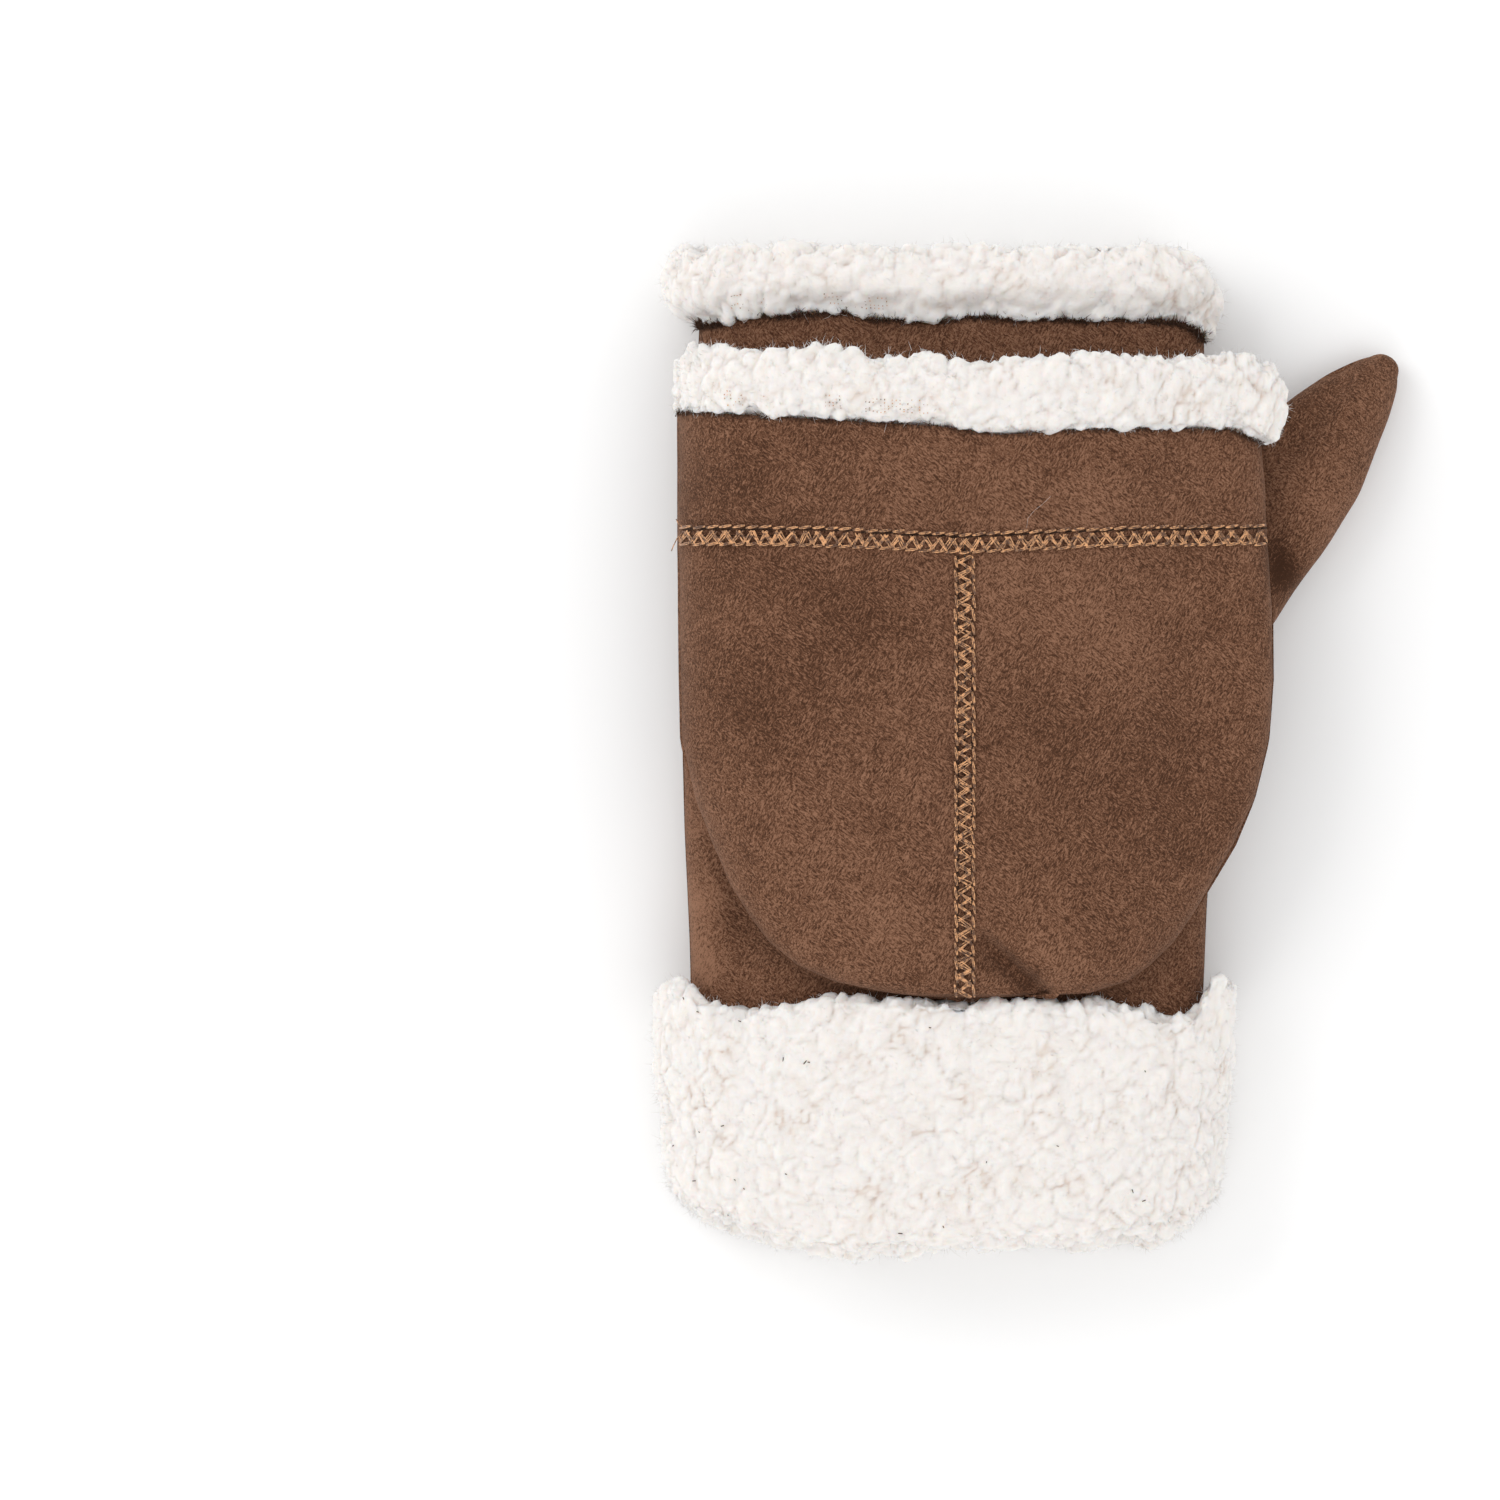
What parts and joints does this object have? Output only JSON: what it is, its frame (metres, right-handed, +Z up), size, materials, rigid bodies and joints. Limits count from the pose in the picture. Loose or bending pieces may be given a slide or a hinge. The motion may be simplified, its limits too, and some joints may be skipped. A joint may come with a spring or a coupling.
{
  "type": "leather mitten",
  "caption": "Flip-top winter mitten for the left hand, suede with sherpa trims, its hood folded back and its cuff turned up, lying palm down.",
  "frame": {"origin": "on the surface that the mitten lies on, under the middle of its box", "axes": "+X towards the thumb, +Y from the wrist to the fingers, +Z up, out of the back of the hand"},
  "size_m": [0.154, 0.2084, 0.0407],
  "materials": {
    "suede": "brown suede with a short brushed nap, matt",
    "sherpa": "creamy white curly pile, matt",
    "patch_leather": "smooth brown leather with a fine grain, satin",
    "thread": "golden tan sewing thread"
  },
  "bodies": {
    "root": {"body_back": "suede", "body_palm": "suede", "thumb": "suede", "hood_back": "suede", "hood_band": "suede", "hood_panel_right": "suede", "hood_panel_left": "suede", "finger_trim": "sherpa", "hood_trim": "sherpa", "cuff": "sherpa", "palm_patch": "patch_leather"}
  },
  "joints": []
}
